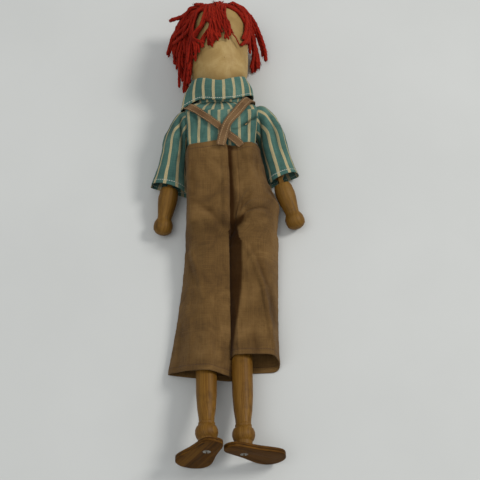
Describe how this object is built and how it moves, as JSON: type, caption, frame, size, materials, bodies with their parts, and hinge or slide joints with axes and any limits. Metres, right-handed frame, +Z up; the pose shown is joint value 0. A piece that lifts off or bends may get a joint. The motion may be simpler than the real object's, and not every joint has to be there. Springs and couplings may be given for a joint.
{
  "type": "ventriloquist dummy",
  "caption": "Small ventriloquist dummy with a turning head, slot jaw, yarn hair, cloth shirt and trousers, and jointed wooden limbs, lying face down.",
  "frame": {"origin": "centre of the bounding box in plan, on the surface the dummy lies on", "axes": "+Y towards the head, +Z up towards the dummy's back, +X towards its right side"},
  "size_m": [0.179, 0.5468, 0.0866],
  "materials": {
    "pale_wood": "sanded, unstained",
    "stained_wood": "stained, satin",
    "dark_wood": "dark stain, worn edges",
    "raw_board": "planed board",
    "steel": "bright wire and screws",
    "yarn": "thick wool yarn",
    "striped_cotton": "woven cotton with thin cream stripes",
    "brown_cotton": "coarse woven cotton",
    "eye_paint": "gloss painted"
  },
  "bodies": {
    "torso": {"chest_board": "raw_board", "back_board": "raw_board", "side_board_left": "raw_board", "side_board_right": "raw_board", "shoulder_board": "raw_board", "pelvis_block": "raw_board", "hip_axle": "stained_wood", "shirt_body": "striped_cotton", "collar": "striped_cotton", "trouser_seat": "brown_cotton", "strap_left": "brown_cotton", "strap_right": "brown_cotton"},
    "head": {"head": "pale_wood", "jaw_pin": "steel", "nose": "pale_wood", "eye_left": "eye_paint", "eye_right": "eye_paint", "hair_crown": "yarn", "hair_left": "yarn", "hair_right": "yarn", "head_stick": "raw_board", "trigger_pin": "steel"},
    "jaw": {"jaw": "pale_wood"},
    "trigger": {"trigger": "steel"},
    "shoulder_left": {"shoulder_eye_left": "steel"},
    "upper_arm_left": {"upper_arm_left": "stained_wood", "shoulder_pin_left": "steel", "elbow_pin_left": "steel", "sleeve_left": "striped_cotton"},
    "forearm_left": {"forearm_left": "stained_wood", "cuff_left": "striped_cotton"},
    "thigh_left": {"thigh_left": "stained_wood", "knee_pin_left": "steel", "trouser_upper_left": "brown_cotton"},
    "shin_left": {"shin_left": "stained_wood", "foot_screw_left": "steel", "trouser_lower_left": "brown_cotton"},
    "foot_left": {"foot_left": "dark_wood"},
    "shoulder_right": {"shoulder_eye_right": "steel"},
    "upper_arm_right": {"upper_arm_right": "stained_wood", "shoulder_pin_right": "steel", "elbow_pin_right": "steel", "sleeve_right": "striped_cotton"},
    "forearm_right": {"forearm_right": "stained_wood", "cuff_right": "striped_cotton"},
    "thigh_right": {"thigh_right": "stained_wood", "knee_pin_right": "steel", "trouser_upper_right": "brown_cotton"},
    "shin_right": {"shin_right": "stained_wood", "foot_screw_right": "steel", "trouser_lower_right": "brown_cotton"},
    "foot_right": {"foot_right": "dark_wood"}
  },
  "joints": [
    {"name": "head_turn", "type": "hinge", "parent": "torso", "child": "head", "pos_m": [-0.00542, 0.01297, 0.02317], "axis": [0, 0.9955, 0.0945], "range_deg": [-75, 75]},
    {"name": "jaw_open", "type": "hinge", "parent": "head", "child": "jaw", "pos_m": [-0.00542, 0.19065, 0.035], "axis": [-1, 0, 0], "range_deg": [0, 15], "stiffness_Nm_per_rad": 0.06, "springref_deg": -11.46},
    {"name": "trigger_pull", "type": "hinge", "parent": "head", "child": "trigger", "pos_m": [-0.00542, 0.07868, 0.0294], "axis": [-1, 0, 0], "range_deg": [0, 20]},
    {"name": "shoulder_swing_left", "type": "hinge", "parent": "torso", "child": "shoulder_left", "pos_m": [-0.05092, 0.11651, 0.03299], "axis": [1, 0, 0], "range_deg": [-45, 95]},
    {"name": "arm_spread_left", "type": "hinge", "parent": "shoulder_left", "child": "upper_arm_left", "pos_m": [-0.05092, 0.11651, 0.03299], "axis": [0, 0.1814, -0.9834], "range_deg": [-3, 40]},
    {"name": "elbow_left", "type": "hinge", "parent": "upper_arm_left", "child": "forearm_left", "pos_m": [-0.06203, 0.05453, 0.02156], "axis": [0.9848, -0.1708, -0.0315], "range_deg": [0, 90]},
    {"name": "hip_left", "type": "hinge", "parent": "torso", "child": "thigh_left", "pos_m": [-0.02442, -0.00096, 0.02185], "axis": [1, 0, 0], "range_deg": [-15, 95]},
    {"name": "knee_left", "type": "hinge", "parent": "thigh_left", "child": "shin_left", "pos_m": [-0.02442, -0.12268, 0.01355], "axis": [-1, 0, 0], "range_deg": [-15, 80]},
    {"name": "foot_turn_left", "type": "hinge", "parent": "shin_left", "child": "foot_left", "pos_m": [-0.02442, -0.26443, 0.04362], "axis": [0, 0.9782, -0.2076], "range_deg": [-14, 7]},
    {"name": "shoulder_swing_right", "type": "hinge", "parent": "torso", "child": "shoulder_right", "pos_m": [0.04008, 0.11651, 0.03299], "axis": [1, 0, 0], "range_deg": [-45, 95]},
    {"name": "arm_spread_right", "type": "hinge", "parent": "shoulder_right", "child": "upper_arm_right", "pos_m": [0.04008, 0.11651, 0.03299], "axis": [0, -0.1878, 0.9822], "range_deg": [-3, 32]},
    {"name": "elbow_right", "type": "hinge", "parent": "upper_arm_right", "child": "forearm_right", "pos_m": [0.05986, 0.05672, 0.02156], "axis": [0.9511, 0.3035, 0.058], "range_deg": [0, 90]},
    {"name": "hip_right", "type": "hinge", "parent": "torso", "child": "thigh_right", "pos_m": [0.01358, -0.00096, 0.02185], "axis": [1, 0, 0], "range_deg": [-15, 95]},
    {"name": "knee_right", "type": "hinge", "parent": "thigh_right", "child": "shin_right", "pos_m": [0.01358, -0.12268, 0.01355], "axis": [-1, 0, 0], "range_deg": [-12, 80]},
    {"name": "foot_turn_right", "type": "hinge", "parent": "shin_right", "child": "foot_right", "pos_m": [0.01358, -0.26612, 0.03409], "axis": [0, -0.9899, 0.1418], "range_deg": [-30, 5]}
  ],
  "couplings": [
    {"joint": "trigger_pull", "follows": "jaw_open", "ratio": 1.3333}
  ]
}
